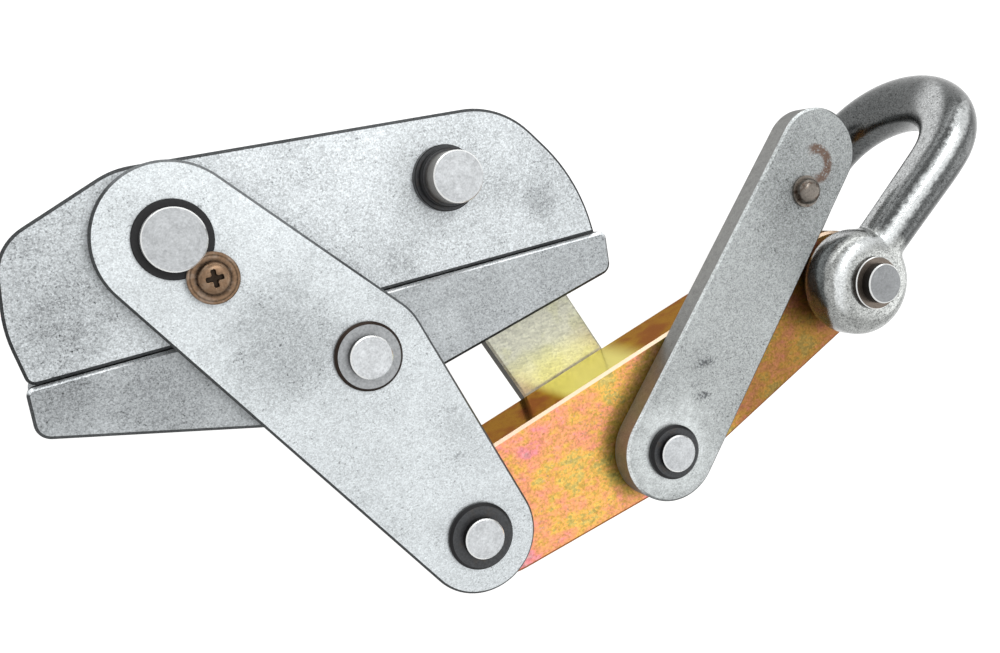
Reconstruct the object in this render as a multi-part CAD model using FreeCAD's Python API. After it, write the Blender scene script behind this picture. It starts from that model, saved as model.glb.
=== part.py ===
import FreeCAD, Part
import math
import os

# Self-gripping clamp, lying on its side with its front plates up.
# X runs along the gripped conductor towards the shackle, Y across it and Z up.
# The origin is the middle of the conductor groove. All lengths are in millimetres.

# jaws and lever
body_thickness = 24.0
side_play = 0.3
jaw_gap = 0.4
edge_chamfer = 1.0
groove_radius = 7.0
flare_length = 5.0
flare_depth = 2.0

# outline of the upper jaw: x, y and corner radius
upper_left = -93.3
upper_right = 90.0
upper_corner = 3.0
upper_outline = [
    (-95.5, 17.0, 40.0),
    (-91.6, 40.6, 16.0),
    (-55.4, 54.4, 25.0),
    (66.4, 48.9, 29.0),
    (88.2, 19.6, 58.0),
]

# outline of the lower jaw below its gripping face
lower_left = -94.5
lower_right = 94.3
lower_corner = 2.5
lower_outline = [(-95.3, -15.0, 5.0), (-9.7, -37.0, 60.0), (93.3, -14.0, 4.0)]

# pivots: main pin, pin of the lower jaw, pin of the lever
main_x = -45.0
main_y = 31.2
jaw_pin_x = 2.0
jaw_pin_y = -17.5
lever_pin_x = 23.7
lever_pin_y = -85.2

# front link plate
plate_thickness = 6.0
plate_chamfer = 0.8
link_main_radius = 22.8
link_jaw_radius = 19.8
link_lever_radius = 19.6

# lever
lever_pin_lobe = 17.6
lever_root_across = 12.0
lever_root_up = 2.4
lever_root_lobe = 22.2
arm_pin_x = 97.1
arm_pin_y = -79.3
arm_lobe_across = 2.9
arm_lobe_radius = 15.4
shackle_x = 183.4
shackle_y = -41.2
shackle_lobe = 18.4

# rear link, parallel to the line from the jaw pin to the lever pin
rear_link_thickness = 8.0
rear_link_radius = 17.4
rear_link_skew = 3.0
rear_pivot_x = 66.0
rear_pivot_y = -12.0
rear_pin_radius = 4.5
rear_pin_depth = 8.0
rear_clip_width = 3.0
rear_pin_end = 1.6

# front arm
arm_angle = 47.1
arm_length = 118.8
arm_thickness = 9.8
arm_foot_radius = 17.7
arm_head_radius = 15.9
rivet_setback = 14.6
rivet_across = -2.2
rivet_shank_radius = 3.6
rivet_collar_radius = 5.6
rivet_collar_height = 0.9
rivet_head_radius = 4.6
rivet_head_height = 3.6

# pins and their rings
slip = 0.05
pin_chamfer = 0.4
ring_height = 1.5
ring_chamfer = 0.3
bevelled_height = 2.0
ring_bevel = 0.9
main_pin_radius = 9.3
main_ring_radius = 11.7
main_head_radius = 13.0
main_head_height = 4.0
main_neck_radius = 6.0
main_cap_height = 2.2
jaw_pin_radius = 6.8
jaw_ring_radius = 10.9
lever_pin_radius = 6.7
lever_ring_radius = 11.1
pin_proud = 2.9
clip_width = 3.6
clip_height = 1.5
clip_pin_end = 1.8
arm_pin_radius = 6.4
arm_ring_radius = 9.5
arm_pin_depth = 11.0
arm_pin_proud = 2.1

# plain pin in the upper jaw, standing out at the front
upper_pin_x = 41.6
upper_pin_y = 29.7
upper_pin_radius = 8.2
upper_collar_radius = 10.6
upper_collar_height = 2.5
upper_ring_radius = 9.3
upper_ring_height = 3.3
upper_pin_proud = 8.2

# keeper screw with its washer beside the main pin
screw_x = -37.1
screw_y = 17.8
washer_radius = 7.7
washer_height = 1.6
screw_radius = 2.5
screw_head_radius = 4.8
screw_head_height = 2.6
recess_length = 5.2
recess_width = 1.3
recess_depth = 1.4

# shackle
shackle_angle = 43.3
shackle_inside = 28.0
eye_radius = 19.2
eye_thickness = 20.0
eye_round = 8.0
leg_level = 21.9
leg_overlap = 5.0
bar_at_eye = 8.6
bar_at_bow = 9.4
bar_at_crown = 10.8
bow_centre = 55.2
bow_half_width = 32.0
bow_depth = 26.2
bow_steps = 12
shackle_pin_radius = 8.0
shackle_pin_end = 7.0
shackle_ring_radius = 9.4
shackle_pin_proud = 4.0
shackle_head_radius = 13.0
shackle_head_height = 4.0
seat_margin = 0.4

front = body_thickness / 2
back = -front
plate_back = front + side_play
plate_front = plate_back + plate_thickness
arm_front = plate_back + arm_thickness
slot_front = back - side_play
rear_link_back = slot_front - rear_link_thickness
up = FreeCAD.Vector(0, 0, 1)
rear_foot_x = rear_pivot_x + lever_pin_x - jaw_pin_x
rear_foot_y = rear_pivot_y + lever_pin_y - jaw_pin_y


def point(x, y):
    return FreeCAD.Vector(x, y, 0)


def raised(edges, low, high):
    face = Part.Face(Part.Wire(edges))
    face.translate(FreeCAD.Vector(0, 0, low))
    return face.extrude(FreeCAD.Vector(0, 0, high - low))


def lobed(circles, low, high):
    """Plate round three or more circles, given anticlockwise as x, y and radius."""
    edges = []
    touches = []
    count = len(circles)
    for i in range(count):
        x0, y0, r0 = circles[i]
        x1, y1, r1 = circles[(i + 1) % count]
        turn = math.atan2(y1 - y0, x1 - x0) - math.acos((r0 - r1) / math.hypot(x1 - x0, y1 - y0))
        start = point(x0 + r0 * math.cos(turn), y0 + r0 * math.sin(turn))
        end = point(x1 + r1 * math.cos(turn), y1 + r1 * math.sin(turn))
        touches.append((start, end, turn))
    for i in range(count):
        x1, y1, r1 = circles[(i + 1) % count]
        start, end, turn = touches[i]
        leave, _, next_turn = touches[(i + 1) % count]
        middle = turn + ((next_turn - turn) % (2 * math.pi)) / 2
        edges.append(Part.LineSegment(start, end).toShape())
        edges.append(Part.Arc(end, point(x1 + r1 * math.cos(middle), y1 + r1 * math.sin(middle)), leave).toShape())
    return raised(edges, low, high)


def cornered(corners, low, high):
    """Plate with rounded corners, given as x, y and radius; radius 0 is a sharp corner."""
    count = len(corners)
    starts = []
    arcs = []
    for i in range(count):
        here = point(corners[i][0], corners[i][1])
        radius = corners[i][2]
        to_last = point(corners[i - 1][0], corners[i - 1][1]).sub(here)
        to_next = point(corners[(i + 1) % count][0], corners[(i + 1) % count][1]).sub(here)
        to_last.normalize()
        to_next.normalize()
        if radius == 0:
            starts.append((here, here))
            arcs.append(None)
            continue
        half = to_last.getAngle(to_next) / 2
        length = radius / math.tan(half)
        inward = to_last.add(to_next)
        inward.normalize()
        middle = here.add(inward.multiply(radius / math.sin(half) - radius))
        first = here.add(to_last.multiply(length))
        last = here.add(to_next.multiply(length))
        starts.append((first, last))
        arcs.append(Part.Arc(first, middle, last).toShape())
    edges = []
    for i in range(count):
        if arcs[i] is not None:
            edges.append(arcs[i])
        edges.append(Part.LineSegment(starts[i][1], starts[(i + 1) % count][0]).toShape())
    return raised(edges, low, high)


def round_bar(x, y, radius, low, high):
    return Part.makeCylinder(radius, high - low, FreeCAD.Vector(x, y, low), up)


def flat_edges(shape, level):
    chosen = []
    for edge in shape.Edges:
        box = edge.BoundBox
        if abs(box.ZMin - level) < 1e-4 and abs(box.ZMax - level) < 1e-4:
            chosen.append(edge)
    return chosen


def broken(shape, size, levels):
    for level in levels:
        shape = shape.makeChamfer(size, flat_edges(shape, level))
    return shape


def pin(x, y, radius, low, high):
    return broken(round_bar(x, y, radius, low, high), pin_chamfer, [high])


def ring(x, y, radius, inside, low, high, bevel=ring_chamfer):
    disc = broken(round_bar(x, y, radius, low, high), bevel, [high])
    return disc.cut(round_bar(x, y, inside, low - 1, high + 1))


def drilled(shape, holes):
    for x, y, radius in holes:
        box = shape.BoundBox
        shape = shape.cut(round_bar(x, y, radius, box.ZMin - 1, box.ZMax + 1))
    return shape


def grooved(shape, left, right):
    along = FreeCAD.Vector(1, 0, 0)
    wide = groove_radius + flare_depth
    shape = shape.cut(Part.makeCylinder(groove_radius, right - left, FreeCAD.Vector(left, 0, 0), along))
    shape = shape.cut(Part.makeCone(wide, groove_radius, flare_length, FreeCAD.Vector(left, 0, 0), along))
    start = FreeCAD.Vector(right - flare_length, 0, 0)
    return shape.cut(Part.makeCone(groove_radius, wide, flare_length, start, along))


parts = {}

# jaws
upper_face = jaw_gap / 2
upper = [(upper_right, upper_face, 0.0), *reversed(upper_outline), (upper_left, upper_face, upper_corner)]
upper_jaw = broken(cornered(upper, back, front), edge_chamfer, [back, front])
upper_jaw = grooved(upper_jaw, upper_left - 1, upper_right + 1)
upper_jaw = drilled(upper_jaw, [(main_x, main_y, main_pin_radius + slip)])
parts["upper_jaw"] = drilled(upper_jaw, [(upper_pin_x, upper_pin_y, upper_pin_radius)])

lower_face = -jaw_gap / 2
lower = [(lower_left, lower_face, lower_corner), *lower_outline, (lower_right, lower_face, lower_corner)]
lower_jaw = broken(cornered(lower, back, front), edge_chamfer, [back, front])
lower_jaw = grooved(lower_jaw, lower_left - 1, lower_right + 1)
lower_jaw = drilled(lower_jaw, [(jaw_pin_x, jaw_pin_y, jaw_pin_radius + slip)])
rear_socket = round_bar(rear_pivot_x, rear_pivot_y, rear_pin_radius, back - 1, back + rear_pin_depth)
parts["lower_jaw"] = lower_jaw.cut(rear_socket)

# front link plate
link_circles = [
    (main_x, main_y, link_main_radius),
    (lever_pin_x, lever_pin_y, link_lever_radius),
    (jaw_pin_x, jaw_pin_y, link_jaw_radius),
]
front_link = broken(lobed(link_circles, plate_back, plate_front), plate_chamfer, [plate_back, plate_front])
link_holes = [
    (main_x, main_y, main_pin_radius),
    (jaw_pin_x, jaw_pin_y, jaw_pin_radius),
    (lever_pin_x, lever_pin_y, lever_pin_radius),
]
front_link = drilled(front_link, link_holes)
parts["front_link"] = drilled(front_link, [(screw_x, screw_y, screw_radius)])

# lever
lever_root = (lever_pin_x + lever_root_across, lever_pin_y + lever_root_up, lever_root_lobe)
lever_circles = [
    (lever_pin_x, lever_pin_y, lever_pin_lobe),
    lever_root,
    (arm_pin_x + arm_lobe_across, arm_pin_y, arm_lobe_radius),
    (shackle_x, shackle_y, shackle_lobe),
    lever_root,
]
lever = broken(lobed(lever_circles, back, front), edge_chamfer, [back, front])
lever = drilled(lever, [(lever_pin_x, lever_pin_y, lever_pin_radius + slip)])
lever = drilled(lever, [(shackle_x, shackle_y, shackle_pin_radius + slip)])
lever = lever.cut(round_bar(arm_pin_x, arm_pin_y, arm_pin_radius, front - arm_pin_depth, front + 1))
parts["lever"] = lever.cut(round_bar(rear_foot_x, rear_foot_y, rear_pin_radius, back - 1, back + rear_pin_depth))

# rear link with its two pins and clips
rear_circles = [
    (rear_pivot_x - rear_link_skew, rear_pivot_y, rear_link_radius),
    (rear_foot_x + rear_link_skew, rear_foot_y, rear_link_radius),
]
rear_pins = (("rear_upper", rear_pivot_x, rear_pivot_y), ("rear_lower", rear_foot_x, rear_foot_y))
rear_link = broken(lobed(rear_circles, rear_link_back, slot_front), plate_chamfer, [rear_link_back, slot_front])
rear_holes = [(x, y, rear_pin_radius + slip) for _, x, y in rear_pins]
parts["rear_link"] = drilled(rear_link, rear_holes)
rear_clip_front = rear_link_back - side_play
rear_clip_back = rear_clip_front - clip_height
for name, x, y in rear_pins:
    stud = round_bar(x, y, rear_pin_radius, rear_clip_back - rear_pin_end, back + rear_pin_depth)
    parts[name + "_pin"] = broken(stud, pin_chamfer, [rear_clip_back - rear_pin_end])
    rear_ring = rear_pin_radius + rear_clip_width
    parts[name + "_clip"] = ring(x, y, rear_ring, rear_pin_radius, rear_clip_back, rear_clip_front)

# main pin: head at the rear, neck for the keeper washer under its cap
ring_front = plate_front + ring_height
neck_top = ring_front + washer_height + side_play
main_pin = round_bar(main_x, main_y, main_pin_radius, slot_front, ring_front)
main_pin = main_pin.fuse(round_bar(main_x, main_y, main_head_radius, slot_front - main_head_height, slot_front))
main_pin = main_pin.fuse(round_bar(main_x, main_y, main_neck_radius, ring_front, neck_top))
main_pin = main_pin.fuse(pin(main_x, main_y, main_pin_radius, neck_top, neck_top + main_cap_height))
parts["main_pin"] = main_pin.removeSplitter()
parts["main_pin_ring"] = ring(main_x, main_y, main_ring_radius, main_pin_radius, plate_front, ring_front)

# keeper washer and screw
washer_top = ring_front + washer_height
head_top = washer_top + screw_head_height
parts["keeper_washer"] = ring(screw_x, screw_y, washer_radius, screw_radius, ring_front, washer_top)
screw = round_bar(screw_x, screw_y, screw_radius, plate_back + plate_chamfer, washer_top)
head = round_bar(screw_x, screw_y, screw_head_radius, washer_top, head_top)
head = head.makeFillet(screw_head_height * 0.6, flat_edges(head, head_top))
screw = screw.fuse(head)
for wide, tall in ((recess_length, recess_width), (recess_width, recess_length)):
    corner = FreeCAD.Vector(screw_x - wide / 2, screw_y - tall / 2, head_top - recess_depth)
    screw = screw.cut(Part.makeBox(wide, tall, recess_depth + 1, corner))
parts["keeper_screw"] = screw.removeSplitter()

# pin of the lower jaw and pin of the lever, clipped behind
clip_front = back - side_play
clip_back = clip_front - clip_height
pin_back = clip_back - clip_pin_end
clipped = (
    ("jaw_pin", jaw_pin_x, jaw_pin_y, jaw_pin_radius, jaw_ring_radius),
    ("lever_pin", lever_pin_x, lever_pin_y, lever_pin_radius, lever_ring_radius),
)
bevelled_front = plate_front + bevelled_height
for name, x, y, radius, ring_radius in clipped:
    parts[name] = broken(pin(x, y, radius, pin_back, bevelled_front + pin_proud), pin_chamfer, [pin_back])
    parts[name + "_ring"] = ring(x, y, ring_radius, radius, plate_front, bevelled_front, ring_bevel)
    parts[name + "_clip"] = ring(x, y, radius + clip_width, radius, clip_back, clip_front)

# plain pin of the upper jaw with its stepped collar
collar_front = front + upper_collar_height
upper_ring_front = collar_front + upper_ring_height
parts["upper_pin"] = pin(upper_pin_x, upper_pin_y, upper_pin_radius, back, upper_ring_front + upper_pin_proud)
parts["upper_pin_collar"] = ring(
    upper_pin_x, upper_pin_y, upper_collar_radius, upper_pin_radius, front, collar_front
)
parts["upper_pin_ring"] = ring(
    upper_pin_x, upper_pin_y, upper_ring_radius, upper_pin_radius, collar_front, upper_ring_front
)

# front arm with its pin, ring and rivet
arm_turn = math.radians(arm_angle)
arm_head_x = arm_pin_x + arm_length * math.cos(arm_turn)
arm_head_y = arm_pin_y + arm_length * math.sin(arm_turn)
rivet_along = arm_length - rivet_setback
rivet_x = arm_pin_x + rivet_along * math.cos(arm_turn) - rivet_across * math.sin(arm_turn)
rivet_y = arm_pin_y + rivet_along * math.sin(arm_turn) + rivet_across * math.cos(arm_turn)
arm_circles = [(arm_pin_x, arm_pin_y, arm_foot_radius), (arm_head_x, arm_head_y, arm_head_radius)]
front_arm = broken(lobed(arm_circles, plate_back, arm_front), plate_chamfer, [plate_back, arm_front])
front_arm = drilled(front_arm, [(arm_pin_x, arm_pin_y, arm_pin_radius + slip)])
parts["front_arm"] = drilled(front_arm, [(rivet_x, rivet_y, rivet_shank_radius)])
arm_ring_back = arm_front + side_play
arm_ring_front = arm_ring_back + bevelled_height
arm_pin_front = arm_ring_front + arm_pin_proud
parts["arm_pin"] = pin(arm_pin_x, arm_pin_y, arm_pin_radius, front - arm_pin_depth, arm_pin_front)
parts["arm_pin_ring"] = ring(
    arm_pin_x, arm_pin_y, arm_ring_radius, arm_pin_radius, arm_ring_back, arm_ring_front, ring_bevel
)
rivet_seat = arm_front + rivet_collar_height
rivet = round_bar(rivet_x, rivet_y, rivet_shank_radius, plate_back, arm_front)
rivet = rivet.fuse(round_bar(rivet_x, rivet_y, rivet_collar_radius, arm_front, rivet_seat))
dome = round_bar(rivet_x, rivet_y, rivet_head_radius, rivet_seat, rivet_seat + rivet_head_height)
dome = dome.makeFillet(rivet_head_height * 0.8, flat_edges(dome, rivet_seat + rivet_head_height))
parts["arm_rivet"] = rivet.fuse(dome).removeSplitter()

# shackle: two eyes and one bar, whose legs spread to a bow that is wider than deep
eye_back = shackle_inside / 2
eye_front = eye_back + eye_thickness
spread = math.atan2(bow_half_width - leg_level, bow_centre)


def bar_section(x, z, lean, radius):
    """Circle of the bar, square to its centre line, which leans from X towards Z."""
    circle = Part.makeCircle(radius, FreeCAD.Vector(0, 0, 0), FreeCAD.Vector(1, 0, 0))
    circle.rotate(FreeCAD.Vector(0, 0, 0), point(0, 1), -math.degrees(lean))
    circle.translate(FreeCAD.Vector(x, 0, z))
    return Part.Wire(circle)


leg_way = FreeCAD.Vector(math.cos(spread), 0, math.sin(spread))
leg_foot = eye_radius - leg_overlap
leg_start = FreeCAD.Vector(leg_foot, 0, leg_level + leg_foot * math.tan(spread))
leg_end = FreeCAD.Vector(bow_centre, 0, bow_half_width)
leg = Part.makeCone(bar_at_eye, bar_at_bow, leg_end.sub(leg_start).Length, leg_start, leg_way)
other_leg = leg.mirror(FreeCAD.Vector(0, 0, 0), up)
sections = [bar_section(bow_centre, bow_half_width, spread, bar_at_bow)]
for step in range(1, bow_steps):
    turn = math.pi / 2 - math.pi * step / bow_steps
    x = bow_centre + bow_depth * math.cos(turn)
    z = bow_half_width * math.sin(turn)
    lean = math.atan2(-bow_half_width * math.cos(turn), bow_depth * math.sin(turn))
    sections.append(bar_section(x, z, lean, bar_at_bow + (bar_at_crown - bar_at_bow) * math.cos(turn)))
sections.append(bar_section(bow_centre, -bow_half_width, -math.pi - spread, bar_at_bow))
eye = round_bar(0, 0, eye_radius, eye_back, eye_front)
eye = eye.makeFillet(eye_round, flat_edges(eye, eye_back) + flat_edges(eye, eye_front))
other_eye = eye.mirror(FreeCAD.Vector(0, 0, 0), up)
shackle = Part.makeLoft(sections, True).fuse([leg, other_leg]).fuse([eye, other_eye])
seat_radius = shackle_head_radius + seat_margin
shackle = shackle.cut(round_bar(0, 0, seat_radius, eye_front, eye_front + bar_at_eye))
shackle = shackle.cut(round_bar(0, 0, seat_radius, -eye_front - bar_at_eye, -eye_front))
shackle = shackle.cut(round_bar(0, 0, shackle_pin_radius, -eye_front - 1, eye_front + 1))
shackle.rotate(FreeCAD.Vector(0, 0, 0), up, shackle_angle)
shackle.translate(FreeCAD.Vector(shackle_x, shackle_y, 0))
parts["shackle"] = shackle

# shackle pin: head at the rear, reduced end standing out at the front
shackle_ring_front = eye_front + ring_height
shackle_pin_front = shackle_ring_front + shackle_pin_proud
head_back = -eye_front - shackle_head_height
shackle_pin = round_bar(shackle_x, shackle_y, shackle_pin_radius, -eye_front, eye_front)
pin_head = broken(
    round_bar(shackle_x, shackle_y, shackle_head_radius, head_back, -eye_front), pin_chamfer, [head_back]
)
shackle_pin = shackle_pin.fuse(pin_head)
shackle_pin = shackle_pin.fuse(pin(shackle_x, shackle_y, shackle_pin_end, eye_front, shackle_pin_front))
parts["shackle_pin"] = shackle_pin.removeSplitter()
parts["shackle_pin_ring"] = ring(
    shackle_x, shackle_y, shackle_ring_radius, shackle_pin_end, eye_front, shackle_ring_front
)

os.makedirs("parts", exist_ok=True)
for name, shape in parts.items():
    shape.exportStep("parts/" + name + ".step")
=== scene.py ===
import math

import bpy
import numpy as np
from mathutils import Matrix, Vector


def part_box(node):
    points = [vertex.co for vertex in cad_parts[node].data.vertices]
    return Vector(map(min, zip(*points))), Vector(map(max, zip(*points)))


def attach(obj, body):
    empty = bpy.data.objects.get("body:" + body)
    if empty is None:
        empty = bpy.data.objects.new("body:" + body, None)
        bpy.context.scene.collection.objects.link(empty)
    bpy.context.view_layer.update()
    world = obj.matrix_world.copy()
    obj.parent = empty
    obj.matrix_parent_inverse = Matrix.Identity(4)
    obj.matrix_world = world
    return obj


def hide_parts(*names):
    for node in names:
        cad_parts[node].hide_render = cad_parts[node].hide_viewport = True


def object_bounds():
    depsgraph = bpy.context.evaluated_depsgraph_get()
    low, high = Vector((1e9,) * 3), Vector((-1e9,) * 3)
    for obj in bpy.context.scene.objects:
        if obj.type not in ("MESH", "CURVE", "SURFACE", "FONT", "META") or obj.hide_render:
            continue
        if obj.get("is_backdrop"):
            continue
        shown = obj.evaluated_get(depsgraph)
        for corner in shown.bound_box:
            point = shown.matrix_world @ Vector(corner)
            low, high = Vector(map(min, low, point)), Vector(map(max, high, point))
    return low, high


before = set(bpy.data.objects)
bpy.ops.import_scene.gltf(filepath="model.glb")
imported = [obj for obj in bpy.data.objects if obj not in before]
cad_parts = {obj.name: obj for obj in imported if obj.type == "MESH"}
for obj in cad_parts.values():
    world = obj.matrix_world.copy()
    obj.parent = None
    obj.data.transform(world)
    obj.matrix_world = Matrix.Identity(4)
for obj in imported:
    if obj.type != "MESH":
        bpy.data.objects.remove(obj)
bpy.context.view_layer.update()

bl_info = {
    "name": "Self-gripping clamp dresser",
    "version": (1, 0, 0),
    "blender": (4, 5, 0),
    "location": "3D View > Sidebar > Clamp",
    "description": "Gives the clamp its zinc, chromate, black oxide and forged finishes",
    "category": "Object",
}

MM = 0.001

# Places and directions on the XY plane that finishes and forging share, in millimetres.
ARM_PIN = (97.1, -79.3)
ARM_WAY = (0.681, 0.733)
SHACKLE_PIN = (183.4, -41.2)
SHACKLE_ANGLE = 43.3
# Span in x, in millimetres, of the rear link's painted reflection on the lever's upper wall.
REAR_LINK_REFLECTION = (64, 70, 90, 103)
RUST_CENTRE = (176.0, 4.0)
RUST_RADIUS = 5.4

# The camera stands above the jaws and looks down the plates at a slant.
CAMERA_PLACE = (-0.075525, 0.042870, 0.346381)
CAMERA_RIGHT = (0.899861, -0.218917, 0.377260)
CAMERA_UP = (0.269065, 0.959355, -0.085093)
CAMERA_BACK = (-0.343298, 0.178079, 0.922190)
CAMERA_LENS = 39.6
CAMERA_SENSOR = 36.0


# Finishes

class Sock:
    """One output of a finish's node tree. Arithmetic on it adds Math nodes."""

    def __init__(self, finish, socket):
        self.finish = finish
        self.socket = socket

    def maths(self, operation, *terms):
        return self.finish.node("ShaderNodeMath", {"operation": operation}, terms)

    def __add__(self, other):
        return self.maths("ADD", self, other)

    def __sub__(self, other):
        return self.maths("SUBTRACT", self, other)

    def __mul__(self, other):
        return self.maths("MULTIPLY", self, other)

    def __radd__(self, other):
        return self.maths("ADD", other, self)

    def __rsub__(self, other):
        return self.maths("SUBTRACT", other, self)

    def __abs__(self):
        return self.maths("ABSOLUTE", self)

    def most(self, other):
        return self.maths("MAXIMUM", self, other)

    def least(self, other):
        return self.maths("MINIMUM", self, other)

    def root(self):
        return self.maths("SQRT", self)

    def wave(self):
        return self.maths("SINE", self)


class Finish:
    """A material under construction: its tree, its shader and the place in millimetres."""

    def __init__(self, name):
        self.material = bpy.data.materials.new(name)
        self.material.use_nodes = True
        self.tree = self.material.node_tree
        self.shader = self.tree.nodes["Principled BSDF"]
        self.coordinates = self.tree.nodes.new("ShaderNodeTexCoord")
        place = Sock(self, self.coordinates.outputs["Object"])
        self.at = self.node("ShaderNodeVectorMath", {"operation": "SCALE"}, {0: place, 3: 1 / MM})
        self.x, self.y, self.z = (self.node("ShaderNodeSeparateXYZ", None, [self.at], i) for i in range(3))
        normal = Sock(self, self.coordinates.outputs["Normal"])
        self.normal = [self.node("ShaderNodeSeparateXYZ", None, [normal], i) for i in range(3)]

    def node(self, kind, settings=None, values=(), output=0):
        """Adds a node: first its settings, then the value or the link of each socket."""
        made = self.tree.nodes.new(kind)
        for key, value in (settings or {}).items():
            if key == "stops":
                ramp = made.color_ramp
                for index, (position, colour) in enumerate(value):
                    stop = ramp.elements[index] if index < 2 else ramp.elements.new(position)
                    stop.position = position
                    stop.color = (*colour, 1)
            else:
                setattr(made, key, value)
        pairs = values.items() if isinstance(values, dict) else enumerate(values)
        for key, value in pairs:
            if isinstance(value, Sock):
                self.tree.links.new(value.socket, made.inputs[key])
            else:
                made.inputs[key].default_value = value
        return Sock(self, made.outputs[output])

    def noise(self, scale, detail=2.0, rough=0.5, at=None):
        """Noise from 0 to 1; scale counts its grains per millimetre."""
        values = {"Vector": at or self.at, "Scale": scale, "Detail": detail, "Roughness": rough}
        return self.node("ShaderNodeTexNoise", None, values)

    def cells(self, scale):
        """One even random value from 0 to 1 for each crystal; scale counts the crystals per millimetre."""
        colour = self.node("ShaderNodeTexVoronoi", None, {"Vector": self.at, "Scale": scale}, 1)
        return self.node("ShaderNodeSeparateXYZ", None, [colour], 0)

    def away(self, x, y):
        """Distance in millimetres from an upright line through x and y."""
        across, up = self.x - x, self.y - y
        return (across * across + up * up).root()

    def step(self, value, low, high):
        """0 below low, 1 above high and a smooth rise between."""
        return self.node("ShaderNodeMapRange", {"interpolation_type": "SMOOTHSTEP"}, [value, low, high])

    def turned(self, angle, scale, at=None):
        """The place turned about Z by an angle in degrees and stretched."""
        values = {"Vector": at or self.at, "Rotation": (0, 0, math.radians(angle)), "Scale": scale}
        return self.node("ShaderNodeMapping", None, values)

    def patch(self, x, y, reach, ragged=0.35, grain=0.25, squeeze=(1, 1), angle=0):
        """1 at the middle of a round or oval patch on the XY plane, 0 outside its reach."""
        moved = self.node("ShaderNodeVectorMath", {"operation": "SUBTRACT"}, [self.at, (x, y, 0)])
        flat = self.turned(-angle, (1 / squeeze[0], 1 / squeeze[1], 0), moved)
        away = self.node("ShaderNodeVectorMath", {"operation": "LENGTH"}, [flat], 1)
        away = away + (self.noise(grain, 3) - 0.5) * (2 * ragged * reach)
        return 1 - self.step(away, 0.25 * reach, reach)

    def tint(self, first, second, factor):
        """Two colours mixed by a factor."""
        settings = {"data_type": "RGBA", "blend_type": "MIX", "clamp_factor": True}
        colour = [value if isinstance(value, Sock) else (*value, 1) for value in (first, second)]
        return self.node("ShaderNodeMix", settings, {0: factor, 6: colour[0], 7: colour[1]}, 2)

    def shade(self, colour, brightness):
        """A colour made lighter or darker by a number that varies over the surface."""
        return self.node("ShaderNodeVectorMath", {"operation": "SCALE"}, {0: colour, 3: brightness})

    def side(self):
        """1 on walls that stand upright, 0 on faces and broken edges."""
        return 1 - self.step(abs(self.normal[2]), 0.3, 0.55)

    def broken_edge(self):
        """1 on the broken edges between a face and a wall."""
        flat = abs(self.normal[2])
        return self.step(flat, 0.45, 0.6) * (1 - self.step(flat, 0.8, 0.95))

    def turned_to(self, x, y):
        """1 on edges and walls that look along the given way on the XY plane, 0 on the others."""
        return self.step(self.normal[0] * x + self.normal[1] * y, 0.0, 0.35)

    def bump(self, height, distance, strength=1.0):
        """Sends a height from 0 to 1 to the shader's normal; distance is in millimetres."""
        values = {"Strength": strength, "Distance": distance * MM, "Height": height}
        self.wire(Normal=self.node("ShaderNodeBump", None, values))

    def wire(self, **sockets):
        """Sets or links the shader's own sockets; an underscore stands for a space."""
        for key, value in sockets.items():
            target = self.shader.inputs[key.replace("_", " ")]
            if isinstance(value, Sock):
                self.tree.links.new(value.socket, target)
            elif isinstance(value, tuple):
                target.default_value = (*value, 1)
            else:
                target.default_value = value
        return self.material


def zinc(name, colour, wall, patches, cloud, edges, grain=1.0):
    """Satin zinc on plate: crystals, dark pits, fine scratches, clouds, walls painted dark as shade and
    broken edges with painted light and shade.

    Each patch is x, y, reach in millimetres and how much it lightens or darkens. The edges are the painted
    light and shade
    on the broken edge: how bright it is where it looks along the given x and y, how bright elsewhere, x and
    y.
    """
    f = Finish(name)
    crystal = (f.cells(2.1) - 0.5) * grain
    fine = (f.noise(2.3, 2, 0.65) - 0.5) * grain
    cell = (f.noise(0.42, 3, 0.6) - 0.5) * grain
    clouds = f.noise(0.055, 4, 0.62) - 0.5
    light = 1 + crystal * 0.42 + fine * 1.25 + cell * 0.22 + clouds * cloud
    specks = f.step(f.noise(1.1, 3, 0.6), 0.58, 0.68) * f.step(f.noise(0.09, 2), 0.38, 0.62)
    lines = f.noise(0.5, 1, 0.4, f.turned(38, (0.05, 2.2, 1)))
    scratch = (1 - f.step(abs(lines - 0.5), 0.004, 0.016)) * f.step(f.noise(0.07, 2), 0.5, 0.62)
    light = light - specks * 0.42 - scratch * 0.16
    for x, y, reach, amount in patches:
        light = light + f.patch(x, y, reach) * amount
    # Painted light and shade on the broken edges: lit where the edge looks along way_x and way_y, shaded
    # elsewhere.
    lit, shaded, way_x, way_y = edges
    edge_mask = f.broken_edge()
    light = light * (1 + edge_mask * (f.turned_to(way_x, way_y) * (lit - shaded) + (shaded - 1)))
    painted = f.shade(colour, light)
    # The upright walls are painted in the wall colour as shade.
    walls = f.shade(wall, 0.75 + f.noise(0.5, 3) * 0.5 + fine)
    f.wire(
        Base_Color=f.tint(painted, walls, f.side()),
        Metallic=0.72,
        Roughness=0.44 + cell * 0.25 + specks * 0.2 - edge_mask * 0.12,
        Specular_Tint=(0.25, 0.25, 0.25),
    )
    f.bump(fine * 0.6 + cell * 0.5 - specks * 0.5 - scratch * 0.6, 0.03, 0.55)
    return f


def smeared(f, base, marks):
    """Adds dark smears: x, y, reach, strength, squeeze across and the angle of each."""
    colour = base
    for x, y, reach, amount, squeeze, angle in marks:
        mask = f.patch(x, y, reach, 0.5, 0.9, (1, squeeze), angle)
        mask = mask * f.step(f.noise(1.0, 3, 0.6), 0.40, 0.58)
        colour = f.tint(colour, (0.07, 0.075, 0.08), mask * amount)
    return colour


def base_socket(f):
    """The output that now feeds the shader's base colour."""
    return Sock(f, f.shader.inputs["Base Color"].links[0].from_socket)


def give(name, material):
    """Puts a material on a CAD node."""
    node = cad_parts[name]
    node.data.materials.clear()
    node.data.materials.append(material)
    return node


# Surfaces

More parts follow.
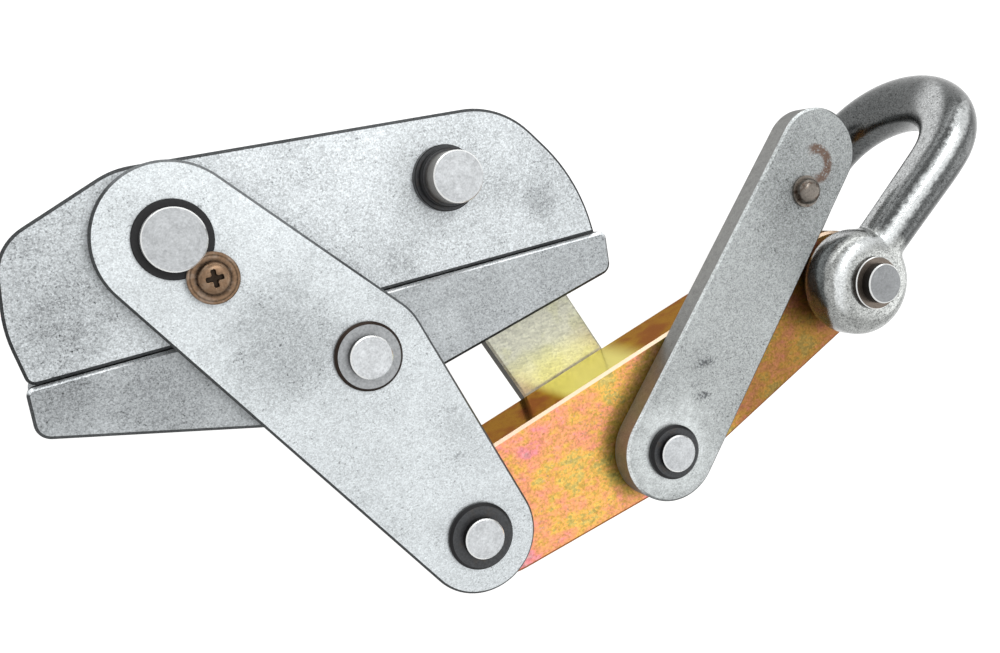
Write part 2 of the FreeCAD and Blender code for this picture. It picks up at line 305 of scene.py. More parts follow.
def grid_mesh(name, points):
    """A mesh from a grid of points: rows run along the first axis, columns go round and close.

    Rows are joined to the next row, and the first and the last row are capped with one polygon each.
    """
    rows, columns = points.shape[:2]
    row = np.arange(rows - 1)[:, None]
    column = np.arange(columns)[None, :]
    beside = (column + 1) % columns
    quads = np.stack([
        row * columns + column,
        row * columns + beside,
        (row + 1) * columns + beside,
        (row + 1) * columns + column,
    ], axis=-1).reshape(-1, 4)
    faces = quads.tolist()
    faces.append(list(range(columns))[::-1])
    faces.append([(rows - 1) * columns + index for index in range(columns)])
    mesh = bpy.data.meshes.new(name)
    mesh.from_pydata(points.reshape(-1, 3).tolist(), [], faces)
    mesh.update()
    made = bpy.data.objects.new(name, mesh)
    bpy.context.scene.collection.objects.link(made)
    return made


def lathe(name, profile, centre, columns=96):
    """Turned shape: each (radius, height) of the profile is carried round Z at the centre."""
    profile = np.asarray(profile, float)
    turn = np.linspace(0, 2 * np.pi, columns, endpoint=False)
    radius, height = profile[:, :1], profile[:, 1:]
    points = np.stack([
        centre[0] + radius * np.cos(turn),
        centre[1] + radius * np.sin(turn),
        np.repeat(height, columns, axis=1),
    ], axis=-1)
    return grid_mesh(name, points * MM)


def swept(name, path, across, radius, columns=48):
    """Round bar: circles of a changing radius carried along a flat path.

    across is the normal of the path's plane, and the circles stand square to the path.
    """
    along = np.gradient(path, axis=0)
    along /= np.linalg.norm(along, axis=1)[:, None]
    side = np.cross(along, across)
    turn = np.linspace(0, 2 * np.pi, columns, endpoint=False)[None, :, None]
    ring = side[:, None, :] * np.cos(turn) + np.asarray(across)[None, None, :] * np.sin(turn)
    return grid_mesh(name, (path[:, None, :] + ring * radius[:, None, None]) * MM)


def centre_of(name):
    """Middle of a CAD node's box on the XY plane, in millimetres."""
    low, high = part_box(name)
    return (low[0] + high[0]) / 2 / MM, (low[1] + high[1]) / 2 / MM


def smooth_faces(made):
    """Smooth shading on the whole piece."""
    made.data.polygons.foreach_set("use_smooth", np.ones(len(made.data.polygons), bool))
    made.data.update()


def applied(made):
    """Replaces a piece's mesh by what its modifiers make of it."""
    graph = bpy.context.evaluated_depsgraph_get()
    mesh = bpy.data.meshes.new_from_object(made.evaluated_get(graph))
    made.modifiers.clear()
    made.data = mesh
    smooth_faces(made)


# Sizes and colours

def colour_property(name, description, default):
    return bpy.props.FloatVectorProperty(
        name=name, description=description, default=default, size=3, min=0, max=1, subtype="COLOR"
    )


def length_property(name, description, default):
    return bpy.props.FloatProperty(
        name=name, description=description, default=default, min=0, subtype="DISTANCE", unit="LENGTH"
    )


def power_property(name, description, default):
    return bpy.props.FloatProperty(name=name, description=description, default=default, min=0, unit="POWER")


class ClampFinishes(bpy.types.PropertyGroup):
    """Colours of the clamp's finishes."""

    jaws: colour_property("Jaws", "Colour of the zinc on the jaws", (0.555, 0.585, 0.60))
    plates: colour_property("Plates", "Colour of the zinc on the link plate", (0.61, 0.645, 0.66))
    arm: colour_property("Arm", "Colour of the zinc on the front arm", (0.385, 0.405, 0.405))
    # Painted shade: the upright walls of the plates and jaws are painted in this near-black colour.
    walls: colour_property("Cut walls", "Colour of the plates' cut walls", (0.030, 0.031, 0.033))
    gold: colour_property("Gold", "Main colour of the lever's chromate", (0.80, 0.36, 0.155))
    cream: colour_property("Cream", "Colour of the rear link's chromate", (0.78, 0.78, 0.66))
    oxide: colour_property("Black oxide", "Colour of the retaining rings", (0.055, 0.057, 0.060))
    turned: colour_property("Turned steel", "Colour of the pins' faces", (0.60, 0.62, 0.635))
    bronze: colour_property("Bronze", "Colour of the screw and the rivet", (0.20, 0.125, 0.075))
    # Painted highlight: this colour is used only for the bright band painted along the top of the shackle's
    # bar.
    galvanised: colour_property("Galvanised", "Colour of the shackle", (0.60, 0.62, 0.62))


class ClampForging(bpy.types.PropertyGroup):
    """Sizes of the forged shackle and of the keeper screw."""

    bar_at_eye: length_property("Bar at eye", "Radius of the shackle's bar at the eyes", 0.0086)
    bar_at_bow: length_property("Bar at bow", "Radius of the shackle's bar where the bow starts", 0.0094)
    bar_at_crown: length_property("Bar at crown", "Radius of the shackle's bar at the crown", 0.0108)
    eye_radius: length_property("Eye radius", "Outer radius of the shackle's eyes", 0.0192)
    eye_round: length_property("Eye rounding", "Rounding of the eyes' edges", 0.0080)
    voxel: length_property("Forging grain", "Grid on which the forging is blended", 0.00075)
    screw_head: length_property("Screw head", "Radius of the keeper screw's head", 0.0048)


class ClampStage(bpy.types.PropertyGroup):
    """Light levels and the floor."""

    overhead: power_property("Overhead", "Power of the large soft light above", 2.45)
    right: power_property("Right", "Power of the soft light at the shackle's side", 1.65)
    strip: power_property("Strip", "Power of the long light beyond the jaws", 2.1)
    key: power_property("Key", "Power of the small light that draws the shackle's streaks", 3.0)
    world: bpy.props.FloatProperty(
        name="World", description="Strength of the world as a light", default=0.26, min=0
    )
    floor_gap: length_property("Floor gap", "Space left between the floor and the clamp", 0.0005)


# Operators

class CLAMP_OT_jaws(bpy.types.Operator):
    """Finishes both jaws in satin zinc with their own clouds and smudges"""

    bl_idname = "clamp.jaws"
    bl_label = "Jaws"

    def execute(self, context):
        finishes = context.scene.clamp_finishes
        walls = tuple(finishes.walls)
        # The last tuple of each is painted light and shade on the broken edges: dark all round on the upper
        # jaw, a painted highlight along the lower jaw's top edge.
        upper = zinc("jaw_zinc_upper", tuple(finishes.jaws), walls, (
            (-76.0, 28.0, 26.0, -0.20), (-84.0, 12.0, 17.0, -0.22), (-70.0, 8.0, 12.0, -0.10),
            (72.0, 15.0, 9.0, -0.22), (61.0, 21.0, 7.0, -0.14), (18.0, 46.0, 30.0, 0.12),
            (4.0, 7.5, 10.0, -0.12), (20.7, 6.5, 9.0, -0.12), (52.0, 42.0, 18.0, 0.06),
        ), 0.5, (0.14, 0.10, 0.0, 1.0))
        lower = zinc("jaw_zinc_lower", tuple(c * 0.72 for c in finishes.jaws), walls, (
            (-86.0, -6.0, 16.0, -0.20), (-60.0, -12.0, 18.0, -0.18), (-40.0, -19.0, 10.0, 0.10),
            (30.0, -16.0, 10.0, 0.10), (45.0, -10.0, 14.0, -0.06),
        ), 0.45, (2.4, 0.22, 0.3, 0.95))
        give("upper_jaw", upper.material)
        give("lower_jaw", lower.material)
        return {"FINISHED"}


class CLAMP_OT_plates(bpy.types.Operator):
    """Finishes the link plate and the front arm, with their smears and the rust on the arm"""

    bl_idname = "clamp.plates"
    bl_label = "Link plate and arm"

    def execute(self, context):
        finishes = context.scene.clamp_finishes
        # The last tuple paints the link plate's broken edges dark, as shade.
        link = zinc("link_zinc", tuple(finishes.plates), tuple(finishes.walls), (
            (-10.0, 40.0, 26.0, 0.10), (-22.0, -8.0, 26.0, -0.28), (16.0, -3.4, 14.0, -0.10),
            (11.0, -63.0, 20.0, 0.04), (-60.0, 30.0, 10.0, 0.06), (2.0, -86.0, 16.0, 0.06),
            (24.0, -48.0, 7.0, -0.10),
        ), 0.35, (0.12, 0.30, -0.9, -0.3), 0.75)
        smears = ((23.4, -57.1, 3.0, 0.55, 0.5, 60), (30.0, -57.5, 2.2, 0.5, 0.4, 100),
                  (24.4, -42.0, 3.5, 0.35, 0.5, 30), (-17.0, 41.0, 4.5, 0.30, 0.4, 10),
                  (-37.0, 38.0, 3.5, 0.7, 0.35, 40))
        link.wire(Base_Color=smeared(link, base_socket(link), smears))
        give("front_link", link.material)

        # The arm's walls are painted grey as shade, and its broken edge gets a painted highlight where it
        # looks up and left.
        arm = zinc("arm_zinc", tuple(finishes.arm), (0.34, 0.34, 0.33), (
            (97.0, -79.0, 24.0, 0.62), (111.0, -62.0, 16.0, 0.10), (178.0, 10.0, 12.0, 0.06),
            (114.0, -54.0, 9.0, -0.08), (160.0, -14.0, 22.0, -0.12), (172.0, -2.0, 34.0, -0.22),
        ), 0.28, (1.6, 0.5, -0.73, 0.68))
        smears = ((116.6, -52.7, 6.5, 0.8, 0.36, 62), (112.9, -63.8, 4.6, 0.9, 0.46, 62),
                  (111.0, -59.0, 2.6, 0.5, 0.5, 40))
        colour = smeared(arm, base_socket(arm), smears)
        ragged = (arm.noise(0.8, 3) - 0.5) * 1.4
        band = 1 - arm.step(abs(arm.away(*RUST_CENTRE) - RUST_RADIUS + ragged), 0.9, 2.4)
        rust = band * arm.step(arm.x, 173.0, 176.5) * arm.step(arm.noise(1.1, 3, 0.65), 0.28, 0.50)
        rust = rust * arm.step(arm.normal[2], 0.9, 0.99)
        arm.wire(Base_Color=arm.tint(colour, (0.125, 0.066, 0.040), rust * 0.85))
        give("front_arm", arm.material)
        return {"FINISHED"}


class CLAMP_OT_lever(bpy.types.Operator):
    """Finishes the pull lever in yellow chromate with pink, olive and violet tints, a painted shadow beside
    the arm, and painted shade and reflection on its upper wall
    """

    bl_idname = "clamp.lever"
    bl_label = "Pull lever"

    def execute(self, context):
        gold = tuple(context.scene.clamp_finishes.gold)
        f = Finish("lever_chromate")
        crystal = f.cells(1.3) - 0.5
        fine = f.noise(1.3, 2, 0.6) - 0.5
        hatch = f.noise(0.55, 2, 0.5, f.turned(-35, (0.35, 1.4, 1))) - 0.5
        warp = f.noise(0.22, 3, 0.6) - 0.5
        hue = f.noise(0.05, 4, 0.62) + warp * 0.42 + hatch * 0.30 + crystal * 0.07
        hue = hue - f.step(f.x, 50, 85) * 0.05 + (1 - f.step(f.x, 30, 62)) * 0.10
        ramp = f.node("ShaderNodeValToRGB", {"stops": [
            (0.0, (0.50, 0.40, 0.16)), (0.34, (0.62, 0.48, 0.14)), (0.42, (0.80, 0.46, 0.10)), (0.52, gold),
            (0.60, (0.84, 0.33, 0.19)), (0.69, (0.78, 0.26, 0.28)), (0.80, (0.58, 0.32, 0.30)),
        ]}, [hue])
        dusk = f.step(f.noise(0.9, 3, 0.6), 0.58, 0.70) * f.step(f.noise(0.09, 2), 0.35, 0.6)
        colour = f.tint(ramp, (0.33, 0.28, 0.27), dusk * 0.45)
        # Painted shade towards the shackle's eye: the right end is darkened, over a browner chromate.
        right = f.step(f.x, 112, 138)
        colour = f.tint(colour, f.shade(f.tint(ramp, (0.30, 0.13, 0.025), 0.60), 0.42), right * 0.85)
        # Painted shadow: a dark olive band left of the arm's foot, where the arm's shadow falls on the lever.
        east, north = f.x - ARM_PIN[0], f.y - ARM_PIN[1]
        along = east * ARM_WAY[0] + north * ARM_WAY[1]
        across = north * ARM_WAY[0] - east * ARM_WAY[1]
        behind = along.least(0.0)
        beside = (behind * behind + across * across).root() + hatch * 3
        arm_shadow = (1 - f.step(beside, 17.5, 25.5)) * f.step(across, -6, 6)
        colour = f.tint(colour, (0.10, 0.11, 0.02), arm_shadow * 0.75)
        colour = f.shade(colour, 1 + crystal * 0.36 + fine * 0.9 + warp * 0.25)
        # The lever's upper wall is painted dark as shade, with a painted reflection of the rear link where
        # the link stands over it.
        wall = f.node("ShaderNodeValToRGB", {"stops": [
            (0.0, (0.22, 0.08, 0.03)), (0.42, (0.32, 0.13, 0.03)),
            (0.52, (0.40, 0.22, 0.04)), (0.62, (0.30, 0.11, 0.04)),
        ]}, [f.noise(0.07, 3, 0.6, f.turned(0, (0.6, 1, 0.5))) + fine * 0.1])
        link_reflection = f.step(f.x, *REAR_LINK_REFLECTION[:2]) * (1 - f.step(f.x, *REAR_LINK_REFLECTION[2:]))
        wall = f.tint(wall, (0.98, 0.94, 0.34), link_reflection * 0.92)
        colour = f.tint(colour, wall, f.side())
        # Painted highlight on the broken edge that looks up, painted shade on the other edges.
        edge = f.broken_edge()
        edge_light = f.tint((0.30, 0.10, 0.01), (0.86, 0.68, 0.52), f.turned_to(-0.4, 0.9))
        colour = f.tint(colour, edge_light, edge * 0.85)
        f.wire(
            Base_Color=colour,
            Metallic=0.85,
            Roughness=0.38 + fine * 0.2 - f.side() * 0.18,
            Specular_Tint=(0.45, 0.35, 0.25),
        )
        f.bump(fine + hatch, 0.02, 0.35)
        give("lever", f.material)
        return {"FINISHED"}


class CLAMP_OT_rear_link(bpy.types.Operator):
    """Finishes the rear link in pale cream chromate with a drawn grain along it"""

    bl_idname = "clamp.rear_link"
    bl_label = "Rear link"

    def execute(self, context):
        cream = tuple(context.scene.clamp_finishes.cream)
        f = Finish("rear_link_chromate")
        grain = f.noise(0.9, 3, 0.6, f.turned(72, (0.3, 1.3, 1))) - 0.5
        crystal = f.cells(1.4) - 0.5
        tintage = f.noise(0.08, 3, 0.55)
        colour = f.tint(cream, (0.70, 0.70, 0.46), f.step(tintage, 0.45, 0.62) * 0.6)
        light = 0.90 + grain * 0.7 + crystal * 0.25 + (1 - f.step(f.y, -62, -34)) * 0.10
        # The upright walls are painted dark as shade.
        colour = f.tint(f.shade(colour, light), (0.045, 0.043, 0.025), f.side())
        f.wire(Base_Color=colour, Metallic=0.5, Roughness=0.38 + grain * 0.2, Specular_Tint=(0.25, 0.25, 0.2))
        f.bump(grain + crystal * 0.3, 0.02, 0.4)
        give("rear_link", f.material)
        return {"FINISHED"}


def turned_steel(name, colour, wall, centre):
    """Turned steel: faint rings about the centre, a grainy face, a ribbed wall painted dark as shade and a
    painted highlight on the broken edge.
    """
    f = Finish(name)
    crystal = f.cells(1.4) - 0.5
    fine = f.noise(1.4, 2, 0.6) - 0.5
    cloud = f.noise(0.20, 3, 0.6) - 0.5
    rings = (f.away(*centre) * 9.0 + fine * 3.0).wave()
    ribs = (f.z * 9.0 + fine * 1.5).wave()
    face = f.shade(colour, 1 + crystal * 0.18 + fine * 0.6 + cloud * 0.45 + rings * 0.03)
    walls = f.shade(wall, 1 + ribs * 0.45 + fine * 0.8)
    # Painted highlight on the broken edge.
    edge = f.broken_edge()
    painted = f.tint(f.tint(face, walls, f.side()), (0.90, 0.91, 0.90), edge * 0.85)
    f.wire(Base_Color=painted, Metallic=0.85, Roughness=0.34 + cloud * 0.2 - edge * 0.1)
    f.bump(rings * 0.1 + fine * 0.5 + ribs * f.side() * 0.3, 0.02, 0.4)
    return f


class CLAMP_OT_pins(bpy.types.Operator):
    """Finishes the pins in turned steel with painted highlights on the broken edges and walls painted dark as
    shade
    """

    bl_idname = "clamp.pins"
    bl_label = "Pins"

    def execute(self, context):
        turned = tuple(context.scene.clamp_finishes.turned)
        tones = {
            "main_pin": 0.68, "jaw_pin": 0.90, "lever_pin": 0.88, "upper_pin": 0.80, "arm_pin": 0.82,
            "shackle_pin": 0.36, "rear_upper_pin": 0.9, "rear_lower_pin": 0.9,
        }
        for name, tone in tones.items():
            # The walls are painted dark as shade; the upper pin's less so.
            wall = (0.30, 0.28, 0.26) if name == "upper_pin" else (0.03, 0.028, 0.027)
            colour = tuple(c * tone for c in turned)
            give(name, turned_steel(name + "_turned", colour, wall, centre_of(name)).material)
        return {"FINISHED"}


class CLAMP_OT_rings(bpy.types.Operator):
    """Finishes the retaining rings, the collar and the clips in black oxide"""

    bl_idname = "clamp.rings"
    bl_label = "Rings and clips"

    def execute(self, context):
        finishes = context.scene.clamp_finishes
        f = Finish("ring_black_oxide")
        fine = f.noise(1.4, 2, 0.6) - 0.5
        cloud = f.noise(0.3, 3, 0.6) - 0.5
        face = f.step(f.normal[2], 0.9, 0.98)
        # The sides and chamfers are painted near black as shade; the face carries the oxide colour with brown
        # clouds.
        colour = f.tint((0.012, 0.012, 0.013), tuple(finishes.oxide), face)
        colour = f.tint(colour, (0.075, 0.062, 0.052), f.step(cloud, 0.02, 0.2) * face * 0.6)
        f.wire(Base_Color=f.shade(colour, 1 + fine * 1.2), Metallic=0.6, Roughness=0.40 + cloud * 0.3)
        f.bump(fine, 0.02, 0.4)
        for name in ("jaw_pin_clip", "lever_pin_ring", "lever_pin_clip", "upper_pin_collar",
                     "upper_pin_ring", "arm_pin_ring", "rear_upper_clip", "rear_lower_clip"):
            give(name, f.material)

        deep = Finish("main_ring_black_oxide")
        fine = deep.noise(1.4, 2, 0.6) - 0.5
        colour = deep.shade((0.018, 0.018, 0.019), 1 + fine * 1.2)
        deep.wire(Base_Color=colour, Metallic=0.6, Roughness=0.42 + fine * 0.2)
        deep.bump(fine, 0.02, 0.4)
        give("main_pin_ring", deep.material)

        washer = Finish("jaw_washer_steel")
        fine = washer.noise(1.3, 2, 0.6) - 0.5
        face = washer.step(washer.normal[2], 0.9, 0.98)
        steel = washer.shade(tuple(c * 0.52 for c in finishes.turned), 1 + fine * 1.1)
        # The washer's sides are painted dark as shade.
        steel = washer.tint((0.030, 0.020, 0.015), steel, face)
        washer.wire(Base_Color=steel, Metallic=0.8, Roughness=0.38 + fine * 0.2)
        give("jaw_pin_ring", washer.material)

        centre = centre_of("shackle_pin_ring")
        browned = turned_steel("shackle_ring_steel", (0.15, 0.125, 0.105), (0.05, 0.042, 0.036), centre)
        give("shackle_pin_ring", browned.material)
        return {"FINISHED"}


class CLAMP_OT_keeper(bpy.types.Operator):
    """Makes the keeper screw's domed head with its cross recess, its washer's finish with a painted shadow
    round the head, and the rivet's finish
    """

    bl_idname = "clamp.keeper"
    bl_label = "Keeper screw, washer and rivet"

    def execute(self, context):
        bronze = tuple(context.scene.clamp_finishes.bronze)
        centre = centre_of("keeper_screw")
        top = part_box("keeper_screw")[1][2] / MM
        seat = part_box("keeper_washer")[1][2] / MM
        reach = context.scene.clamp_forging.screw_head / MM

        washer = Finish("washer_bronze")
        fine = washer.noise(1.3, 2, 0.6) - 0.5
        cloud = washer.noise(0.28, 3, 0.6)
        away = washer.away(*centre)
        colour = washer.tint(bronze, (0.27, 0.20, 0.15), washer.step(cloud, 0.45, 0.65))
        # Painted shadow round the screw head: dark next to the head, lighter further out, with a painted dark
        # line just outside it.
        shadow_round_head = 0.18 + washer.step(away, reach, reach + 1.3) * 0.80
        shadow_round_head = shadow_round_head - (1 - washer.step(abs(away - reach - 1.9), 0.1, 0.35)) * 0.5
        # The washer's sides are painted dark as shade.
        colour = washer.tint(washer.shade(colour, shadow_round_head + fine), (0.03, 0.025, 0.025), washer.side() * 0.8)
        washer.wire(Base_Color=colour, Metallic=0.85, Roughness=0.33 + fine * 0.2)
        washer.bump(fine, 0.02, 0.4)
        give("keeper_washer", washer.material)

        f = Finish("bronze_passivate")
        fine = f.noise(1.3, 2, 0.6) - 0.5
        # Painted shade in the recess: depth is 1 on the dome and 0 in the cross recess, which is painted
        # dark.
        depth = f.step(f.z, top - 1.5, top - 0.5).most(f.step(f.away(*centre), reach * 0.60, reach * 0.66))
        colour = f.tint(bronze, (0.24, 0.165, 0.11), f.step(f.noise(0.4, 3, 0.6), 0.45, 0.65))
        colour = f.shade(colour, (0.12 + depth * 0.88) * (1 + fine * 1.1))
        f.wire(Base_Color=colour, Metallic=0.85, Roughness=0.34 + fine * 0.2)
        f.bump(fine, 0.02, 0.4)
        give("keeper_screw", f.material)
        head = screw_head("keeper_screw_head", centre, reach, seat, top)
        head.data.materials.append(f.material)
        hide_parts("keeper_screw")
        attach(head, "link")

        rivet = Finish("rivet_brown_steel")
        fine = rivet.noise(1.3, 2, 0.6) - 0.5
        cloud = rivet.noise(0.4, 3, 0.6)
        colour = rivet.tint((0.18, 0.16, 0.14), (0.085, 0.06, 0.045), rivet.step(cloud, 0.5, 0.7))
        rivet.wire(Base_Color=rivet.shade(colour, 1 + fine * 1.0), Metallic=0.85, Roughness=0.30 + fine * 0.2)
        rivet.bump(fine, 0.02, 0.4)
        give("arm_rivet", rivet.material)
        return {"FINISHED"}


def screw_head(name, centre, radius, seat, top):
    """Screw head: height over the turn and the radius is a dome less a cross recess.

    The dome falls with the fourth power of the radius. The recess is as deep as its flat floor
    inside a four-armed star, whose reach swings about a mean with the flattened cosine of four turns.
    """
    columns = 160
    turn = np.linspace(0, 2 * np.pi, columns, endpoint=False)[None, :]
    ratio = np.concatenate([np.linspace(0.02, 0.62, 46), np.linspace(0.64, 1.0, 16)])[:, None]
    rise = top - seat
    dome = seat + rise * (0.30 + 0.70 * (1 - ratio ** 4) ** 0.5)
    reach = 0.42 + 0.15 * np.tanh(2.2 * np.cos(4 * turn))
    inside = np.clip((reach - ratio) / 0.06, 0, 1)
    height = dome - inside * inside * (3 - 2 * inside) * 1.7
    radii = np.repeat(ratio * radius, columns, axis=1)
    down = np.array([1.0, 0.97, 0.50])[:, None]
    lower_z = np.array([seat, seat - 0.02, seat - 0.02])[:, None]
    radii = np.vstack([radii, np.repeat(down * radius, columns, axis=1)])
    height = np.vstack([height, np.repeat(lower_z, columns, axis=1)])
    points = np.stack([
        centre[0] + radii * np.cos(turn),
        centre[1] + radii * np.sin(turn),
        height,
    ], axis=-1)[::-1]
    made = grid_mesh(name, points * MM)
    smooth_faces(made)
    return made


class CLAMP_OT_shackle(bpy.types.Operator):
    """Blends the shackle's eyes and round bow into one forging with a zinc finish that holds painted shade
    and highlights
    """

    bl_idname = "clamp.shackle"
    bl_label = "Bow shackle"

    def execute(self, context):
        forging = shackle_forging(context.scene.clamp_forging)
        f = Finish("shackle_galvanised")
        crystal = f.cells(1.9) - 0.5
        fine = f.noise(1.9, 2, 0.65) - 0.5
        cell = f.noise(0.5, 3, 0.6) - 0.5
        specks = f.step(f.noise(1.0, 2, 0.5), 0.58, 0.70)
        # The colour is painted by the way the surface faces: the bar is painted dark as shade, its outer
        # flank lighter as a painted reflection, and a painted highlight band runs along its top; the eyes are
        # lighter.
        outer = f.normal[0] * 0.66 - f.normal[1] * 0.75 + cell * 0.35 + fine * 0.2
        raised = f.normal[2] + cell * 0.25
        upright = 1 - f.step(abs(f.normal[2]), 0.25, 0.50)
        lit_flank = (1 - f.step(outer, -0.92, -0.70)) * upright * f.step(f.z, 12, 24)
        highlight_band = f.step(raised, 0.68, 0.84) * (1 - f.step(outer, -0.30, -0.04))
        eyes = 1 - f.step(f.away(*SHACKLE_PIN), 17.0, 21.0)
        colour = f.tint((0.10, 0.104, 0.104), (0.36, 0.37, 0.36), eyes)
        colour = f.tint(colour, (0.42, 0.43, 0.43), lit_flank)
        colour = f.tint(colour, tuple(context.scene.clamp_finishes.galvanised), highlight_band)
        grain = crystal * 0.55 + fine * 1.8 + cell * 0.6 - specks * 0.45
        colour = f.shade(colour, 1 + grain * (1 - highlight_band * 0.5))
        f.wire(Base_Color=colour, Metallic=0.92, Roughness=0.20 + cell * 0.20 + specks * 0.15)
        f.bump(fine * 0.9 + cell * 0.9 - specks * 0.4, 0.05, 0.6)
        forging.data.materials.append(f.material)
        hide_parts("shackle")
        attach(forging, "bow")
        return {"FINISHED"}


def shackle_forging(sizes):
    """Shackle: two turned eyes and one bar swept along leg, bow and leg, blended on a fine grid.

    The bar's centre line runs straight from each eye to the end of a half ellipse and on along it, and
    its corners are averaged away. Its radius grows along the leg in step with the length, on the bow
    with the cosine of the turn, and swells into the eyes with a falling exponential.
    """
    eye, rounding = sizes.eye_radius / MM, sizes.eye_round / MM
    at_eye, at_bow, at_crown = sizes.bar_at_eye / MM, sizes.bar_at_bow / MM, sizes.bar_at_crown / MM
    pin_x, pin_y = SHACKLE_PIN
    angle = math.radians(SHACKLE_ANGLE)
    inner, thick, level = 14.0, 20.0, 21.9
    bow_centre, half_width, depth = 55.2, 32.0, 26.2
    share = np.linspace(0.12, 1, 60)[:-1]
    leg = np.stack([bow_centre * share, level + (half_width - level) * share], axis=1)
    turn = np.linspace(np.pi / 2, -np.pi / 2, 120)
    bow = np.stack([bow_centre + depth * np.cos(turn), half_width * np.sin(turn)], axis=1)
    flat = np.vstack([leg, bow, leg[::-1] * (1, -1)])
    leg_radius = at_eye + (at_bow - at_eye) * share + 1.3 * np.exp(-bow_centre * (share - share[0]) / 4.0)
    radius = np.concatenate([leg_radius, at_bow + (at_crown - at_bow) * np.cos(turn), leg_radius[::-1]])
    for _ in range(60):
        flat[1:-1] = (flat[:-2] + 2 * flat[1:-1] + flat[2:]) / 4
    path = np.stack([
        pin_x + flat[:, 0] * math.cos(angle),
        pin_y + flat[:, 0] * math.sin(angle),
        flat[:, 1],
    ], axis=1)
    across = np.array([-math.sin(angle), math.cos(angle), 0.0])
    pieces = [swept("shackle_forging", path, across, radius)]
    quarter = np.linspace(0, np.pi / 2, 12)
    for low in (inner, -inner - thick):
        radii = eye - rounding + rounding * np.sin(quarter)
        lower = np.stack([radii, low + rounding - rounding * np.cos(quarter)], axis=1)
        upper = np.stack([lower[::-1, 0], 2 * low + thick - lower[::-1, 1]], axis=1)
        profile = np.vstack([[[0.5, low]], lower, upper, [[0.5, low + thick]]])
        pieces.append(lathe("shackle_eye_blank", profile, SHACKLE_PIN))
    forging = pieces[0]
    with bpy.context.temp_override(active_object=forging, selected_editable_objects=pieces, object=forging):
        bpy.ops.object.join()
    blend = forging.modifiers.new("blend", "REMESH")
    blend.mode = "VOXEL"
    blend.voxel_size = sizes.voxel
    soften = forging.modifiers.new("soften", "SMOOTH")
    soften.factor = 0.5
    soften.iterations = 12
    applied(forging)
    return forging


class CLAMP_OT_stage(bpy.types.Operator):
    """Lays the pale floor and sets the soft lights and the camera"""

    bl_idname = "clamp.stage"
    bl_label = "Floor, lights and camera"

    def execute(self, context):
        scene = context.scene
        levels = scene.clamp_stage
        floor_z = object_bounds()[0][2] - levels.floor_gap
        reach = 4.0
        mesh = bpy.data.meshes.new("floor")
        mesh.from_pydata([(-reach, -reach, floor_z), (reach, -reach, floor_z), (reach, reach, floor_z),
                          (-reach, reach, floor_z)], [], [(0, 1, 2, 3)])
        floor = bpy.data.objects.new("floor", mesh)
        scene.collection.objects.link(floor)
        mesh.materials.append(floor_material())
        floor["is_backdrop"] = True

        world = bpy.data.worlds.new("soft_studio")
        scene.world = world
        world.use_nodes = True
        tree = world.node_tree
        level = tree.nodes.new("ShaderNodeMapRange")
        level.inputs["To Min"].default_value = levels.world
        level.inputs["To Max"].default_value = 1.0
        tree.links.new(seen_directly(tree), level.inputs["Value"])
        tree.nodes["Background"].inputs["Color"].default_value = (1, 1, 1, 1)
        tree.links.new(level.outputs[0], tree.nodes["Background"].inputs["Strength"])

        soft_light("overhead", (0.10, -0.05, 1.0), (0.04, 0, 0), (1.7, 1.5), levels.overhead)
        soft_light("right", (1.0, -0.25, 0.42), (0.1, 0, 0), (0.8, 0.55), levels.right)
        soft_light("strip", (0.15, 0.95, 0.26), (0.0, 0, 0), (1.6, 0.26), levels.strip)
        soft_light("key", (0.34, 0.50, 0.88), (0.2, 0, 0), (0.70, 0.22), levels.key, (0.74, 0.67, 0))

        camera = bpy.data.cameras.new("camera")
        camera.sensor_fit = "HORIZONTAL"
        camera.sensor_width = CAMERA_SENSOR
        camera.lens = CAMERA_LENS
        camera.clip_start = 0.01
        holder = bpy.data.objects.new("camera", camera)
        scene.collection.objects.link(holder)
        turn = Matrix((CAMERA_RIGHT, CAMERA_UP, CAMERA_BACK)).transposed()
        holder.matrix_world = Matrix.Translation(CAMERA_PLACE) @ turn.to_4x4()
        scene.camera = holder
        scene.view_settings.view_transform = "Standard"
        return {"FINISHED"}


def seen_directly(tree):
    """Output that is 1 for camera, glossy and transmission rays, and 0 for the light that things get."""
    path = tree.nodes.new("ShaderNodeLightPath")
    seen = path.outputs["Is Camera Ray"]
    for name in ("Is Glossy Ray", "Is Transmission Ray"):
        either = tree.nodes.new("ShaderNodeMath")
        either.operation = "MAXIMUM"
        tree.links.new(seen, either.inputs[0])
        tree.links.new(path.outputs[name], either.inputs[1])
        seen = either.outputs[0]
    return seen


def floor_material():
    """Pale floor: diffuse, so that it keeps the shadow, with some white added for what is seen directly."""
    f = Finish("pale_floor")
    f.wire(Base_Color=(0.40, 0.40, 0.40), Roughness=0.9, Specular_IOR_Level=0.0)
    seen = Sock(f, seen_directly(f.tree))
    emission = f.node("ShaderNodeEmission", None, {"Color": (1, 1, 1, 1), "Strength": seen * 0.95})
    both = f.node("ShaderNodeAddShader", None, [Sock(f, f.shader.outputs[0]), emission])
    f.tree.links.new(both.socket, f.tree.nodes["Material Output"].inputs["Surface"])
    return f.material


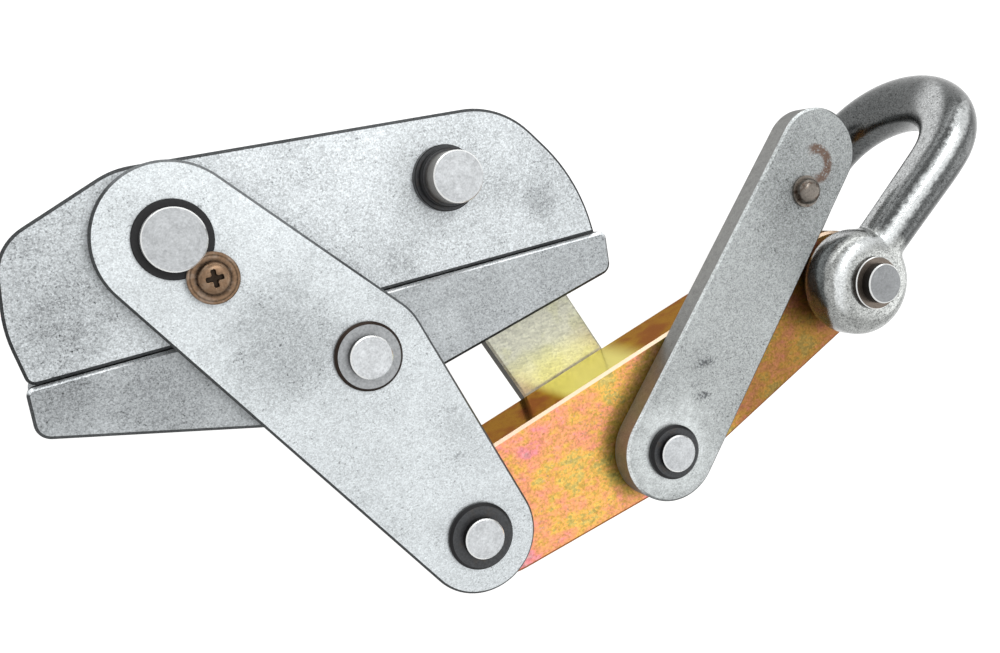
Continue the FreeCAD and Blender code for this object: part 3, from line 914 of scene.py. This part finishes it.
def soft_light(name, place, target, size, power, along=(1, 0, 0)):
    """A rectangular light at a place, turned towards a target, with its first side along a given way."""
    data = bpy.data.lights.new(name, "AREA")
    data.shape = "RECTANGLE"
    data.size, data.size_y = size
    data.energy = power
    lamp = bpy.data.objects.new(name, data)
    bpy.context.scene.collection.objects.link(lamp)
    back = (Vector(place) - Vector(target)).normalized()
    side = Vector(along)
    side = (side - back * side.dot(back)).normalized()
    turn = Matrix((side, back.cross(side), back)).transposed()
    lamp.matrix_world = Matrix.Translation(place) @ turn.to_4x4()


# Panel and registration

OPERATORS = (
    CLAMP_OT_jaws, CLAMP_OT_plates, CLAMP_OT_lever, CLAMP_OT_rear_link, CLAMP_OT_pins,
    CLAMP_OT_rings, CLAMP_OT_keeper, CLAMP_OT_shackle, CLAMP_OT_stage,
)
GROUPS = (
    ("clamp_finishes", ClampFinishes),
    ("clamp_forging", ClampForging),
    ("clamp_stage", ClampStage),
)


class CLAMP_PT_panel(bpy.types.Panel):
    """Lists the clamp's finishes, sizes and steps in the sidebar"""

    bl_idname = "CLAMP_PT_panel"
    bl_label = "Self-gripping clamp"
    bl_space_type = "VIEW_3D"
    bl_region_type = "UI"
    bl_category = "Clamp"

    def draw(self, context):
        for name, group in GROUPS:
            box = self.layout.box()
            for key in group.__annotations__:
                box.prop(getattr(context.scene, name), key)
        for operator in OPERATORS:
            self.layout.operator(operator.bl_idname)


def register():
    for _, group in GROUPS:
        bpy.utils.register_class(group)
    for name, group in GROUPS:
        setattr(bpy.types.Scene, name, bpy.props.PointerProperty(type=group))
    for operator in OPERATORS:
        bpy.utils.register_class(operator)
    bpy.utils.register_class(CLAMP_PT_panel)


def unregister():
    bpy.utils.unregister_class(CLAMP_PT_panel)
    for operator in reversed(OPERATORS):
        bpy.utils.unregister_class(operator)
    for name, group in reversed(GROUPS):
        delattr(bpy.types.Scene, name)
        bpy.utils.unregister_class(group)


def main():
    register()
    bpy.ops.clamp.jaws()
    bpy.ops.clamp.plates()
    bpy.ops.clamp.lever()
    bpy.ops.clamp.rear_link()
    bpy.ops.clamp.pins()
    bpy.ops.clamp.rings()
    bpy.ops.clamp.keeper()
    bpy.ops.clamp.shackle()
    bpy.ops.clamp.stage()


if __name__ == "__main__":
    main()
